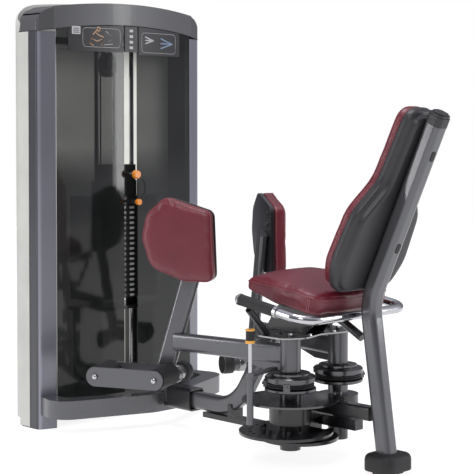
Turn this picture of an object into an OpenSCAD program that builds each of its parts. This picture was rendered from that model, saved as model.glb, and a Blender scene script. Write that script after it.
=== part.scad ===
// Selectorised hip machine: weight tower, base frame, seat, two swinging pad arms.
// Millimetres, +Z up, the tower stands at -X, the seat at +X, the user faces -X.

/* [Tower] */
// overall width of the weight tower
tower_width = 797; // [700:1:900]
// height of the arched seam under the cap, at the tower's sides
cap_seam_z = 1440; // [1300:1:1600]
// height of the cap band at mid width
cap_height = 80; // [60:1:110]
// width of the slot between the two smoked panels
slot_width = 66; // [50:1:90]

/* [Weight stack] */
// number of selectable plates
plate_count = 18; // [10:1:22]
// vertical pitch of the plates
plate_pitch = 19.6; // [18:0.1:25]
// height of the underside of the lowest plate
stack_z = 446; // [300:1:500]

/* [Arms] */
// distance between the two arm pivots
pivot_spacing = 236; // [200:1:280]
// distance from a pivot to the pad upright
arm_length = 483; // [420:1:520]
// how far each knee pad is turned outwards from its arm
pad_turn = 20; // [0:1:30]
// outward angle of each arm as modelled
arm_angle = 9.87; // [0:0.01:30]
// height of the arm beam centre
beam_z = 356; // [320:1:400]

/* [Seat] */
// tilt of the seat, front edge higher
seat_tilt = 9; // [0:0.5:15]
// seat width at the rear
seat_width = 392; // [340:1:440]
// recline of the backrest post
recline = 24.6; // [15:0.1:35]

/* [Hidden] */
// origin is under the centre of the bounding box
OX = 666.3;
PX = 980;
PY = pivot_spacing / 2;
HW = tower_width / 2;
SR = 15;
BR = 15.05;
$fn = 64;

grey = [0.42, 0.42, 0.45];
dark = [0.09, 0.09, 0.10];
black = [0.05, 0.05, 0.05];
red = [0.42, 0.07, 0.11];
chrome = [0.8, 0.8, 0.82];
light = [0.72, 0.72, 0.69];
orange = [0.95, 0.55, 0.08];
yellow = [0.95, 0.72, 0.15];

// arc as a list of points
function arcp(c, r, a0, a1, n) = [for (i = [0:n]) let (a = a0 + (a1 - a0) * i / n) [c[0] + r * cos(a), c[1] + r * sin(a)]];
function unit(v) = v / norm(v);
// one corner of a closed outline rounded to radius r
function corner(a, b, c, r, n) = r <= 0 ? [b] : let (
    u = unit(a - b), v = unit(c - b),
    h = acos(max(-1, min(1, u * v))) / 2,
    t = r / tan(h), m = unit(u + v), o = b + m * (r / sin(h)),
    p0 = b + u * t, p1 = b + v * t,
    a0 = atan2(p0[1] - o[1], p0[0] - o[0]), a1 = atan2(p1[1] - o[1], p1[0] - o[0]),
    d = (a1 - a0) > 180 ? a1 - a0 - 360 : ((a1 - a0) < -180 ? a1 - a0 + 360 : a1 - a0))
  [for (i = [0:n]) o + r * [cos(a0 + d * i / n), sin(a0 + d * i / n)]];
// closed outline with every corner rounded; p holds [x, y, r]
function rnd(p, n = 6) = [for (i = [0:len(p) - 1]) let (
    a = p[(i + len(p) - 1) % len(p)], b = p[i], c = p[(i + 1) % len(p)])
  each corner([a[0], a[1]], [b[0], b[1]], [c[0], c[1]], b[2], n)];
module slab(p, h, n = 6) linear_extrude(h) polygon(rnd(p, n));
// rounded-rectangle profile, w across, h high
module prof(w, h, r) polygon(rnd([[-w/2, -h/2, r], [w/2, -h/2, r], [w/2, h/2, r], [-w/2, h/2, r]], 6));
// straight tube of the child profile from p0 to p1 in the plane z = 0, profile y is normal to the plane
module run(p0, p1) {
  d = p1 - p0;
  translate([p0[0], p0[1], 0]) rotate([0, 0, atan2(d[1], d[0])]) rotate([90, 0, 90]) linear_extrude(norm(d)) children();
}
// bent tube along a planar path with bend radius r at inner corners
module bent(p, r) {
  n = len(p);
  function tl(i) = (i <= 0 || i >= n - 1) ? 0 : let (u = unit(p[i] - p[i-1]), v = unit(p[i+1] - p[i])) r * tan(acos(u * v) / 2);
  for (i = [0:n-2]) {
    u = unit(p[i+1] - p[i]);
    run(p[i] + u * tl(i), p[i+1] - u * tl(i+1)) children();
  }
  for (i = [1:n-2]) {
    u = unit(p[i] - p[i-1]); v = unit(p[i+1] - p[i]);
    th = acos(u * v); s = sign(u[0] * v[1] - u[1] * v[0]);
    a = atan2(u[1], u[0]);
    st = p[i] - u * tl(i); c = st + s * r * [-u[1], u[0]];
    translate([c[0], c[1], 0]) rotate([0, 0, s > 0 ? a - 90 : a + 90 - th])
      rotate_extrude(angle = th, $fn = 96) translate([r, 0]) children();
  }
}
// round rod between two points
module rod(a, b, r) {
  d = b - a;
  translate(a) rotate([0, acos(d[2] / norm(d)), atan2(d[1], d[0])]) cylinder(r = r, h = norm(d));
}
// puts a planar x-y drawing upright: x stays X, y becomes Z
module upright_plane(y = 0) translate([0, y, 0]) rotate([90, 0, 0]) children();

// plan outlines of the tower
RF = 1923;
CF = 52 - RF;
function bow(y, off = 0) = CF + sqrt((RF + off) * (RF + off) - y * y);
UO = [[-106, -HW, 12], [0, -HW, 16], [24, -HW + 71, 5], [-106, -HW + 71, 5]];
UI = [[-103, -HW + 3, 9], [-1.5, -HW + 3, 12], [20.5, -HW + 68, 3], [-103, -HW + 68, 3]];
// arch that closes the tower at the top
RA = 2417;
module under_arch(off, x0 = -260, x1 = 160)
  translate([x0, 0, cap_seam_z + 33 - RA]) rotate([90, 0, 90]) linear_extrude(x1 - x0)
    polygon(concat(arcp([0, 0], RA + off, 78, 102, 60), [[-460, 900], [460, 900]]));

module upright_shape() difference() {
  slab(UO, cap_seam_z - 0.5, 6);
  translate([0, 0, 3]) slab(UI, cap_seam_z - 7, 5);
}
module upright_left() color(grey) intersection() { upright_shape(); under_arch(-1); }
module upright_right() color(grey) mirror([0, 1, 0]) intersection() { upright_shape(); under_arch(-1); }

// cap band: arched above and below, bowed in plan, with round upper corners
module tower_cap() color(grey) {
  y0 = HW;
  difference() {
    intersection() {
      translate([0, 0, cap_seam_z - 20]) slab(concat([[-106, -y0, 12], [0, -y0, 16]],
        [for (i = [0:24]) let (y = -y0 + 60 + (2 * y0 - 120) * i / 24) [bow(y, 1.5), y, 0]],
        [[0, y0, 16], [-106, y0, 12]]), 160, 6);
      translate([-300, 0, 0]) rotate([90, 0, 90]) linear_extrude(500)
        polygon(concat([[-y0, cap_seam_z - 20]], [[y0, cap_seam_z - 20]],
          arcp([y0 - 62, cap_seam_z + 22], 62, 0, 78, 12),
          arcp([0, cap_seam_z + 33 - RA], RA + cap_height, 82.3, 97.7, 40),
          arcp([-y0 + 62, cap_seam_z + 22], 62, 102, 180, 12)));
    }
    under_arch(0);
    translate([0, 0, cap_seam_z - 30]) slab([[-102, -y0 + 12, 6], [2, -y0 + 12, 6], [30, -250, 40], [44, 0, 0], [30, 250, 40], [2, y0 - 12, 6], [-102, y0 - 12, 6]], 94, 5);
  }
}
// light rear shroud, bowed backwards
module rear_shroud() color(light) {
  intersection() {
    translate([-300, 0, 0]) rotate([90, 0, 90]) linear_extrude(500)
      polygon(concat([[-HW - 2, 0], [HW + 2, 0]], arcp([HW - 118, 1428], 118, 0, 84, 12), [[HW - 118, 1700], [-HW + 118, 1700]], arcp([-HW + 118, 1428], 118, 96, 180, 12)));
    translate([0, 0, 30]) difference() {
      slab([[-106.5, -HW - 1.9, 0], [-150, -HW + 10, 40], [-190, -200, 120], [-190, 200, 120], [-150, HW - 10, 40], [-106.5, HW + 1.9, 0]], 1550, 8);
      translate([0, 0, -1]) slab([[-106, -HW + 8, 0], [-147.5, -HW + 19.5, 36], [-186, -199, 116], [-186, 199, 116], [-147.5, HW - 19.5, 36], [-106, HW - 8, 0]], 1552, 8);
    }
    under_arch(91);
  }
  for (s = [-1, 1]) translate([-106.6, s * (HW + 1.1) - 0.8, 4]) cube([58, 1.6, cap_seam_z - 6]);
}
module panel_shape() intersection() {
  translate([0, 0, 96]) linear_extrude(1400) polygon(concat(
    [for (i = [0:16]) let (y = -HW + 72 + (HW - 72 - slot_width / 2) * i / 16) [bow(y), y]],
    [for (i = [0:16]) let (y = -slot_width / 2 - (HW - 72 - slot_width / 2) * i / 16) [bow(y, -5), y]]));
  under_arch(-1.5);
}
module panel_left() color([0.35, 0.37, 0.36, 0.6]) panel_shape();
module panel_right() color([0.35, 0.37, 0.36, 0.6]) mirror([0, 1, 0]) panel_shape();
module plq(y0, y1, z0, z1) intersection() {
  translate([0, 0, z0]) linear_extrude(z1 - z0) polygon(concat(
    [for (i = [0:8]) let (y = y0 + (y1 - y0) * i / 8) [bow(y, 2.5), y]],
    [for (i = [0:8]) let (y = y1 + (y0 - y1) * i / 8) [bow(y, 0.1), y]]));
  under_arch(-3);
}
module placards() color(dark) {
  plq(-282, -38, 1372, 1500);
  plq(38, 262, 1366, 1500);
  // centre placard bridges the slot on two lugs
  intersection() {
    union() {
      translate([bow(0, 0.4), -31, 1374]) cube([2.4, 62, 120]);
      for (s = [-1, 1]) translate([bow(0, -5), s * 31 - 1.6, 1374]) cube([5.6, 3.2, 90]);
    }
    under_arch(-3);
  }
}
module base_bow() color(grey) difference() {
  translate([0, 0, 54]) slab([[-4, -386, 0], [130, -424, 82], [264, -70, 150], [264, 70, 150], [130, 424, 82], [-4, 386, 0],
     [-4, 334, 0], [84, 340, 44], [212, 66, 110], [212, -66, 110], [84, -340, 44], [-4, -334, 0]], 66, 10);
  for (s = [0, 1]) mirror([0, s, 0]) translate([0, 0, -1]) slab(UO, 200, 6);
  translate([230, -24.9, 74]) cube([60, 49.8, 80]);
}
// cross members, stack pedestal and rod sockets inside the tower
module tower_base() color(dark) {
  difference() {
    union() {
      translate([-100, -HW + 71, 24]) cube([96, 2 * HW - 142, 70]);
      for (s = [-1, 1]) translate([-100, s * 128 - 30, 94]) cube([100, 60, 310]);
      translate([-116, -168, 404]) cube([136, 336, 12]);
    }
    for (s = [-1, 1]) translate([-47, s * 87, 90]) cylinder(r = 9.05, h = 400);
    translate([-68, -16, 380]) cube([42, 32, 60]);
  }
  // upper cross member carrying the rods
  difference() {
    translate([-98, -HW + 71, 1396]) cube([86, 2 * HW - 142, 26]);
    for (s = [-1, 1]) translate([-47, s * 87, 1390]) cylinder(r = 9.05, h = 26);
    translate([-66, -24, 1380]) cube([38, 48, 60]);
  }
}
module guide_rods() color(chrome) for (s = [-1, 1]) translate([-47, s * 87, 90]) cylinder(r = 9, h = 1325);
module stack_bumpers() color(black) for (s = [-1, 1]) translate([-47, s * 87, 416.2]) difference() {
  cylinder(r = 24, h = stack_z - 416.4);
  translate([0, 0, -1]) cylinder(r = 9.6, h = 60);
}
PLW = 330;
PLX0 = -112;
PLD = 130;
module weight_plates() color(black) for (i = [0:plate_count-1]) translate([0, 0, stack_z + i * plate_pitch]) difference() {
  union() {
    translate([PLX0, -PLW / 2, 0]) slab([[0, 0, 6], [PLD, 0, 6], [PLD, PLW, 6], [0, PLW, 6]], plate_pitch - 1.2, 4);
    translate([-47, 0, plate_pitch - 1.2]) difference() { cylinder(r = 26, h = 1.2); translate([0, 0, -1]) cylinder(r = 14.5, h = 4); }
  }
  for (s = [-1, 1]) translate([-47, s * 87, -1]) cylinder(r = 10, h = 40);
  translate([-47, 0, -1]) cylinder(r = 14.5, h = 40);
  translate([-60, 0, 9.2]) rotate([0, 90, 0]) cylinder(r = 5.4, h = 90);
}
TPZ = stack_z + plate_count * plate_pitch;
// head plate with the drilled stem that runs down through the plates
module top_plate() color(dark) difference() {
  union() {
    translate([PLX0, -PLW / 2, TPZ + 0.2]) slab([[0, 0, 6], [PLD, 0, 6], [PLD, PLW, 6], [0, PLW, 6]], 34, 4);
    translate([-47, 0, stack_z + 6]) cylinder(r = 13, h = TPZ - stack_z - 5);
    for (s = [-1, 1]) translate([-47, s * 87, TPZ + 30]) cylinder(r = 20, h = 60);
  }
  for (s = [-1, 1]) translate([-47, s * 87, TPZ - 2]) cylinder(r = 9.6, h = 100);
  for (i = [0:plate_count-1]) translate([-61, 0, stack_z + i * plate_pitch + 9.2]) rotate([0, 90, 0]) cylinder(r = 5.4, h = 30);
  translate([-61, 0, TPZ + 14]) rotate([0, 90, 0]) cylinder(r = 5.4, h = 90);
}
// small add-on weight riding on the head plate
module addon_weight() color(black) difference() {
  translate([PLX0 + 14, -60, TPZ + 34.6]) slab([[0, 0, 8], [112, 0, 8], [112, 120, 8], [0, 120, 8]], 118, 4);
  translate([-47, 0, TPZ + 30]) cylinder(r = 9, h = 140);
  for (s = [-1, 1]) translate([-47, s * 87, TPZ + 30]) cylinder(r = 31, h = 140);
  translate([-6, 0, TPZ + 117]) rotate([0, 90, 0]) cylinder(r = 6, h = 40);
}
module addon_knob() color(orange) translate([0, 0, TPZ + 117]) rotate([0, 90, 0]) {
  translate([0, 0, -4]) cylinder(r = 5.95, h = 80);
  translate([0, 0, 76]) cylinder(r = 16, h = 12);
  translate([0, 0, 88]) cylinder(r1 = 16, r2 = 13, h = 6);
}
PINZ = TPZ + 14;
module selector_pin() color(orange) translate([0, 0, PINZ]) rotate([0, 90, 0]) {
  translate([0, 0, -55]) cylinder(r = 4.8, h = 140);
  translate([0, 0, 84]) cylinder(r1 = 9, r2 = 11.5, h = 6);
  translate([0, 0, 90]) cylinder(r = 11.5, h = 12);
}
// short coiled safety cord between the add-on stem and the pin head, modelled as a loop
module pin_tether() color(black) translate([70, 0, 0]) {
  translate([0, 0, PINZ]) rotate([0, 90, 0]) difference() { cylinder(r = 8.4, h = 5); translate([0, 0, -1]) cylinder(r = 5.3, h = 9); }
  translate([0, 0, TPZ + 117]) rotate([0, 90, 0]) difference() { cylinder(r = 9.4, h = 5); translate([0, 0, -1]) cylinder(r = 6.4, h = 9); }
  translate([2.5, 6.5, 0]) rotate([90, 0, 90]) translate([0, 0, -1.8]) linear_extrude(3.6) polygon(concat(
    arcp([0, (PINZ + TPZ + 117) / 2], 49, -76, 76, 20), arcp([0, (PINZ + TPZ + 117) / 2], 45, 76, -76, 20)));
}
// lift cable: the run that shortens above the head plate
module lift_cable() color(black) translate([-47, 0, TPZ + 34.4]) cylinder(r = 3, h = 1329.8 - TPZ - 34.4);
// the rest of the cable, over the head pulley, down, round the base pulley and into the frame
BPZ = 152;
module cable_return() color(black) {
  translate([-87, 0, 1330]) rotate([90, 0, 0]) rotate_extrude(angle = 180) translate([40, 0]) circle(r = 3, $fn = 24);
  translate([-127, 0, BPZ]) cylinder(r = 3, h = 1330 - BPZ);
  translate([-87, 0, BPZ]) rotate([90, 0, 0]) rotate([0, 0, 180]) rotate_extrude(angle = 90) translate([40, 0]) circle(r = 3, $fn = 24);
  translate([-87, 0, BPZ - 40]) rotate([0, 90, 0]) cylinder(r = 3, h = 298);
}
module sheave() difference() {
  union() {
    cylinder(r = 36.4, h = 14, center = true);
    translate([0, 0, -9]) cylinder(r = 46, h = 4);
    translate([0, 0, 5]) cylinder(r = 46, h = 4);
    translate([0, 0, -11]) cylinder(r = 14, h = 22);
  }
  cylinder(r = 6.05, h = 40, center = true);
}
module head_pulley() color(dark) translate([-87, 0, 1330]) rotate([90, 0, 0]) sheave();
module base_pulley() color(dark) translate([-87, 0, BPZ]) rotate([90, 0, 0]) sheave();
module pulley_brackets() color(dark) {
  for (s = [-1, 1]) {
    translate([-97, s * 17.5 - 2.5, 1316]) cube([20, 5, 79.8]);
    translate([-98, s * 17.5 - 2.5, 94.2]) cube([22, 5, BPZ - 80]);
  }
  translate([-87, 0, 1330]) rotate([90, 0, 0]) cylinder(r = 6, h = 40, center = true);
  translate([-87, 0, BPZ]) rotate([90, 0, 0]) cylinder(r = 6, h = 40, center = true);
}

// base frame
BZ = 112;
BA = 57.9;
module main_beam() color(grey) upright_plane()
  bent([[264.2, BZ], [617, BZ], [836, BZ + 219 * tan(BA)]], 170) prof(60, 48, 15);
module beam_cut() upright_plane() bent([[264.2, BZ], [617, BZ], [836, BZ + 219 * tan(BA)]], 170) prof(60.8, 48.8, 15);
module sleeve() difference() {
  translate([290, -36, 72]) rotate([90, 0, 90]) translate([36, 40, 0]) linear_extrude(120) prof(72, 80, 14);
  translate([280, -30, 79]) cube([150, 60, 66]);
}
// flat member below the main beam, out to the pivot hub
module lower_beam() color(dark) { sleeve(); difference() {
  union() {
    translate([470, -26, 62]) cube([430, 52, 18]);
    translate([600, -30, 80]) cube([16, 60, 46]);
  }
  beam_cut();
} }
// fixed lower pivot posts, bosses and the cross tube between them
module hub_frame() color(dark) difference() {
  union() {
    for (s = [-1, 1]) translate([PX, s * PY, 46]) {
      cylinder(r = 34, h = 60);
      translate([0, 0, 88]) cylinder(r = 69, h = 64);
      translate([0, 0, 50]) cylinder(r = 34, h = 100);
    }
    translate([PX - 34, -PY, 140]) cube([68, 2 * PY, 50]);
    translate([896, -30, 62.2]) cube([90, 60, 90]);
    translate([PX + 50, 6, 146]) rotate([0, 90, 0]) translate([0, 0, -40]) cube([34, 40, 160]);
  }
  for (s = [-1, 1]) translate([PX, s * PY, 0]) cylinder(r = SR, h = 300);
  translate([PX + 34.5, -22, 157.5]) cube([300, 44, 70]);
  translate([870, -26.2, 50]) cube([30, 52.4, 30.1]);
}
module pivot_shafts() color(chrome) for (s = [-1, 1]) translate([PX, s * PY, 46]) {
  cylinder(r = SR, h = 364.8);
  translate([0, 0, 368.4]) cylinder(r = 8, h = 10, $fn = 6);
  translate([0, 0, 364.8]) cylinder(r = 10, h = 4);
}
// broad lower plates under the left pivot, and a small one under the right
module stop_plates() color(dark) {
  difference() {
    union() {
      translate([PX - 10, -PY - 10, 100]) cylinder(r = 154, h = 9, $fn = 128);
      for (i = [0:6]) translate([PX + 92 * cos(200 + 22 * i), -PY + 92 * sin(200 + 22 * i), 108]) cylinder(r = 6, h = 14);
    }
    translate([PX, -PY, 60]) cylinder(r = 34.2, h = 90);
    translate([PX, PY, 60]) cylinder(r = 50, h = 90);
    translate([893, -32, 60]) cube([160, 64, 70]);
    for (i = [0:8]) translate([PX + 132 * cos(190 + 15 * i), -PY + 132 * sin(190 + 15 * i), 60]) cylinder(r = 6, h = 90, $fn = 24);
  }
  difference() {
    translate([PX + 20, -PY + 20, 82]) cylinder(r = 128, h = 10, $fn = 128);
    translate([PX, -PY, 60]) cylinder(r = 34.2, h = 90);
    translate([880, -32, 60]) cube([116, 64, 70]);
    translate([PX, PY, 60]) cylinder(r = 50, h = 90);
  }
  difference() {
    translate([PX, PY, 100]) cylinder(r = 48, h = 9, $fn = 64);
    translate([PX, PY, 60]) cylinder(r = 34.2, h = 90);
    translate([893, -32, 60]) cube([160, 64, 70]);
  }
}
// top plate bridging both pivots, carried by the main beam
module bridge_plate() color(chrome) difference() {
  translate([0, 0, 409.4]) slab([[770, -60, 30], [880, -172, 40], [1000, -176, 50], [1036, -100, 50], [1010, 0, 60], [1036, 100, 50], [1000, 176, 50], [880, 172, 40], [770, 60, 30]], 5, 6);
  for (s = [-1, 1]) translate([PX, s * PY, 400]) cylinder(r = SR, h = 20);
  upright_plane() run([617, BZ], [852, BZ + 235 * tan(BA)]) prof(61, 48.6, 12);
}
module rear_beam() color(dark) difference() {
  translate([PX + 34.6, -22, 158]) rotate([90, 0, 90]) translate([22, 22.5, 0]) linear_extrude(214) prof(44, 45, 8);
  upright_plane() run([1285, 60], [1218, 530]) prof(59, 59, 12);
}
PT = [1217, 540] + 618 * [sin(recline), cos(recline)];
module rear_post() color(grey) upright_plane()
  bent([[1286.5, 56], [1217, 540], PT], 190) prof(57, 57, 17);
module post_cap() color(dark) upright_plane() {
  u = [sin(recline), cos(recline)];
  run(PT + 0.2 * u, PT + 30 * u) prof(58, 58, 17);
  run(PT + 29.9 * u, PT + 38 * u) prof(54, 54, 17);
  run(PT + 37.9 * u, PT + 43 * u) prof(44, 44, 15);
}
// two oval plugs on the rear face of the post
module post_plugs() color(black) for (q = [[1462, 1016], [1328, 726]]) {
  k = (q[1] - 540) / cos(recline);
  translate([1217, 0, 540]) rotate([0, recline, 0]) translate([28.7, 0, k]) rotate([0, 90, 0]) linear_extrude(1.6) polygon(rnd([[-17, -9, 8.9], [17, -9, 8.9], [17, 9, 8.9], [-17, 9, 8.9]], 8));
}
module rear_foot() color(black) difference() {
  union() {
    translate([1291, 0, 12]) slab([[-58, -68, 34], [58, -68, 34], [58, 68, 34], [-58, 68, 34]], 44, 8);
    translate([1291, 0, 55]) slab([[-52, -62, 30], [52, -62, 30], [52, 62, 30], [-52, 62, 30]], 11, 8);
    translate([1291, 0, 0]) cylinder(r = 32, h = 14);
  }
  upright_plane() run([1286.5 + 69.5 * 4 / 484, 52], [1217, 540]) prof(57.6, 57.6, 17);
}

// seat group
module tilt() translate([1100, 0, 505]) rotate([0, seat_tilt, 0]) children();
SW = seat_width / 2;
module seat_cushion() color(red) tilt() intersection() {
  slab([[-318, -SW + 56, 40], [-150, -SW + 6, 160], [44, -SW, 46], [52, 0, 0], [44, SW, 46], [-150, SW - 6, 160], [-318, SW - 56, 40], [-330, 0, 0]], 100, 8);
  rotate([90, 0, 0]) translate([0, 0, -SW]) linear_extrude(2 * SW)
    polygon([[-332, 0], [60, 0], [60, 38], [46, 54], [14, 72], [-40, 86], [-140, 94], [-220, 87], [-285, 70], [-320, 50], [-332, 34]]);
  rotate([90, 0, 90]) translate([0, 0, -332]) linear_extrude(400)
    polygon([[-SW, 0], [SW, 0], [SW, 56], [SW - 14, 68], [SW - 50, 80], [SW - 110, 91], [0, 97], [-SW + 110, 91], [-SW + 50, 80], [-SW + 14, 68], [-SW, 56]]);
}
module seat_frame() color(dark) {
  tilt() difference() {
    union() {
      translate([0, 0, -6]) slab([[-272, -SW + 80, 30], [-150, -SW + 40, 100], [30, -SW + 40, 30], [30, SW - 40, 30], [-150, SW - 40, 100], [-272, SW - 80, 30]], 5.7, 6);
      translate([-250, -44, -30]) cube([270, 88, 24.2]);
    }
  }
  // side plates down to the bridge plate and struts out to the grips
  difference() {
    for (s = [-1, 1]) translate([0, s * 40 - 4, 0]) rotate([90, 0, 0]) translate([0, 0, -4]) linear_extrude(8)
      polygon([[800, 414.8], [985, 414.8], [1010, 440], [1010, 492], [870, 514]]);
    tilt() translate([-300, -80, -30]) cube([400, 160, 60]);
    upright_plane() run([617, BZ], [852, BZ + 235 * tan(BA)]) prof(61, 48.6, 12);
  }
  for (s = [-1, 1]) difference() {
    rod([905, s * 150, 414.6], [914, s * 244, 508], 12);
    tilt() translate([-260, s * 250, -2]) rotate([0, 90, 0]) cylinder(r = 18.7, h = 240);
    translate([860, -300, 400]) cube([120, 600, 14.6]);
  }
}
module seat_brace() color(dark) difference() {
  translate([1052, 0, 490]) rotate([0, 118, 0]) cylinder(r = 14, h = 150);
  tilt() translate([-300, -60, -30.2]) cube([330, 120, 80]);
  tilt() translate([-300, -160, -6.2]) cube([400, 320, 60]);
  upright_plane() run([1286.5, 56], [1217, 540]) prof(57.2, 59, 10);
}
// U-shaped handle in the tilted plane of the seat
HP = [[-224, -250], [68, -250], [68, 250], [-224, 250]];
module hpath() translate([0, 0, -2]) bent(HP, 62) children();
module handle_tube() color(chrome) difference() {
  tilt() hpath() circle(r = 15);
  upright_plane() bent([[1286.5, 56], [1217, 540], PT], 190) prof(57.2, 57.2, 17);
}
module gripcyl(x0, x1, r) for (s = [-1, 1]) tilt() translate([x0, s * 250, -2]) rotate([0, 90, 0]) difference() {
  cylinder(r = r, h = x1 - x0);
  translate([0, 0, -1]) cylinder(r = 15, h = x1 - x0 + 2);
}
module handle_grips() color(black) gripcyl(-216, -62, 18.6);
module grip_caps() color(chrome) {
  gripcyl(-61.8, -50, 20);
  gripcyl(-224, -216.2, 19.4);
  for (s = [-1, 1]) tilt() translate([-231, s * 250, -2]) rotate([0, 90, 0]) cylinder(r1 = 15, r2 = 19.4, h = 6.8);
}
// backrest, drawn in its own plane: x across, y along the recline
BK = [1217, 0, 540];
module back_frame(d) translate(BK) rotate([0, recline, 0]) translate([-28.8 - d, 0, 0]) rotate([90, 0, 90]) children();
BO = [[-126, 6, 70], [-168, 114, 120], [-154, 285, 100], [-82, 392, 100], [-72, 545, 90], [-66, 642, 44], [66, 642, 44], [72, 545, 90], [82, 392, 100], [154, 285, 100], [168, 114, 120], [126, 6, 70]];
function inset(p, a) = [for (q = p) [q[0] - sign(q[0]) * a, q[1] < 60 ? q[1] + a : (q[1] > 600 ? q[1] - a : q[1]), max(10, q[2] - a)]];
module backrest_shell() color(dark) {
  back_frame(51) slab(BO, 29, 8);
  back_frame(22.5) slab(inset(BO, 15), 22, 8);
}
module backrest_pad() color(red) back_frame(84) slab(inset(BO, 3), 32.6, 8);

// left arm frame: pivot at the origin, arm towards -x, outboard is -y
module arm() translate([PX, -PY, 0]) rotate([0, 0, arm_angle]) children();
module arm_solid() arm() difference() {
  union() {
    translate([0, 0, 301]) cylinder(r = 34, h = 104);
    translate([0, 0, 404]) cylinder(r = 37, h = 4.4);
    translate([-arm_length + 16, -21, beam_z - 31]) rotate([90, 0, 90]) translate([21, 31, 0]) linear_extrude(arm_length - 30) prof(42, 62, 14);
    translate([0, 5, 0]) rotate([90, 0, 0]) linear_extrude(10) polygon([[-30, 302], [-120, 302], [-215, 327], [-30, 327]]);
  }
  translate([0, 0, 290]) cylinder(r = BR, h = 140);
  translate([-arm_length, 0, 0]) rotate([0, 0, pad_turn]) translate([-26, 0, 262]) rotate([0, 16, 0]) translate([-33.4, -15.4, -20]) cube([66.8, 30.8, 500]);
  translate([-arm_length - 60, -60, 300]) cube([58, 120, 120]);
}
module arm_left() color(grey) arm_solid();
module arm_right() color(grey) mirror([0, 1, 0]) arm_solid();
// pad plane: turned outwards from the arm, x towards the pivot, -y outboard
module padp() arm() translate([-arm_length, 0, 0]) rotate([0, 0, pad_turn]) children();
module pad_upright_shape() padp() translate([-26, 0, 262]) rotate([0, 16, 0])
  translate([0, 0, 0]) linear_extrude(470) prof(66, 30, 13);
module pad_upright_left() color(grey) pad_upright_shape();
module pad_upright_right() color(grey) mirror([0, 1, 0]) pad_upright_shape();
// D-shaped pad outline: x towards the seat, y up
PO = [[-94, 716, 70], [-78, 800, 60], [-8, 864, 40], [160, 812, 30], [170, 566, 26], [62, 566, 70], [-62, 612, 70]];
function grow(p, k) = [for (q = p) [38 + (q[0] - 38) * k, 708 + (q[1] - 708) * k, q[2] * k]];
module pad_shell_shape() padp() translate([0, -16, 0]) rotate([90, 0, 0]) slab(grow(PO, 0.96), 14, 8);
module pad_shell_left() color(dark) pad_shell_shape();
module pad_shell_right() color(dark) mirror([0, 1, 0]) pad_shell_shape();
module pad_shape() padp() translate([0, -30.4, 0]) rotate([90, 0, 0]) slab(PO, 48, 8);
module pad_left() color(red) pad_shape();
module pad_right() color(red) mirror([0, 1, 0]) pad_shape();
// foot rest: two rollers between an outer bar and an inner bar
FZ = 246;
FX = 2;
FS = -219;
module footp() arm() translate([-arm_length, 0, 0]) rotate([0, 0, 14]) children();
module foot_bars_shape() difference() {
  footp() {
    translate([0, -157, 0]) rotate([90, 0, 0]) slab([[FX + 33, FZ - 33, 32.9], [FX + 33, FZ + 33, 32.9], [FX + FS - 33, FZ + 33, 32.9], [FX + FS - 33, FZ - 33, 32.9]], 8, 12);
    translate([0, -18, 0]) rotate([90, 0, 0]) slab([[FX + 30, FZ - 30, 29.9], [FX + 30, FZ + 30, 29.9], [FX + FS - 30, FZ + 30, 29.9], [FX + FS - 30, FZ - 30, 29.9]], 10, 12);
    for (x = [FX, FX + FS]) translate([x, -22, FZ]) rotate([90, 0, 0]) cylinder(r = 10, h = 148);
    for (x = [FX, FX + FS]) translate([x, -165, FZ]) rotate([90, 0, 0]) cylinder(r = 7, h = 5);
    translate([FX - 12, 84, FZ - 12]) rotate([90, 0, 0]) cylinder(r = 29, h = 104);
    translate([FX - 12, 122, FZ - 12]) rotate([90, 0, 0]) cylinder(r = 35, h = 38);
  }
  padp() translate([-26, 0, 262]) rotate([0, 16, 0]) translate([-34, -15.4, -0.4]) cube([68, 30.8, 400]);
}
module foot_bars_left() color(grey) foot_bars_shape();
module foot_bars_right() color(grey) mirror([0, 1, 0]) foot_bars_shape();
module foot_pegs_shape() footp() for (x = [FX, FX + FS]) translate([x, -28.4, FZ]) rotate([90, 0, 0]) difference() {
  cylinder(r = 36, h = 128);
  translate([0, 0, -1]) cylinder(r = 10.05, h = 150);
}
module foot_pegs_left() color(black) foot_pegs_shape();
module foot_pegs_right() color(black) mirror([0, 1, 0]) foot_pegs_shape();

// cable cams; the left one carries the broad index disc
module cam_shape(idx) translate([PX, -PY, 0]) difference() {
  union() {
    rotate_extrude($fn = 96) polygon([[0, 238], [80, 238], [84, 241], [84, 248], [80, 250], [74, 250], [72, 252], [72, 268], [74, 270], [84, 271], [84, 284], [80, 288], [64, 292], [64, 297.5], [0, 297.5]]);
    translate([0, 0, 206]) cylinder(r = 34, h = 33);
    if (idx) translate([0, 0, 206]) cylinder(r = 158, h = 6, $fn = 160);
    for (a = [215, 305]) rotate([0, 0, a]) translate([70, -11, 249]) cube([18, 22, 23]);
    for (a = [215, 305]) rotate([0, 0, a]) translate([82, 0, 260.5]) rotate([0, 90, 0]) cylinder(r = 5, h = 11, $fn = 24);
  }
  translate([0, 0, 190]) cylinder(r = BR, h = 140);
  if (idx) for (i = [0:9]) translate([140 * cos(150 + 13 * i), 140 * sin(150 + 13 * i), 200]) cylinder(r = 5.5, h = 20, $fn = 24);
}
module cam_left() color(chrome) cam_shape(true);
module cam_right() color(chrome) mirror([0, 1, 0]) cam_shape(false);

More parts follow.
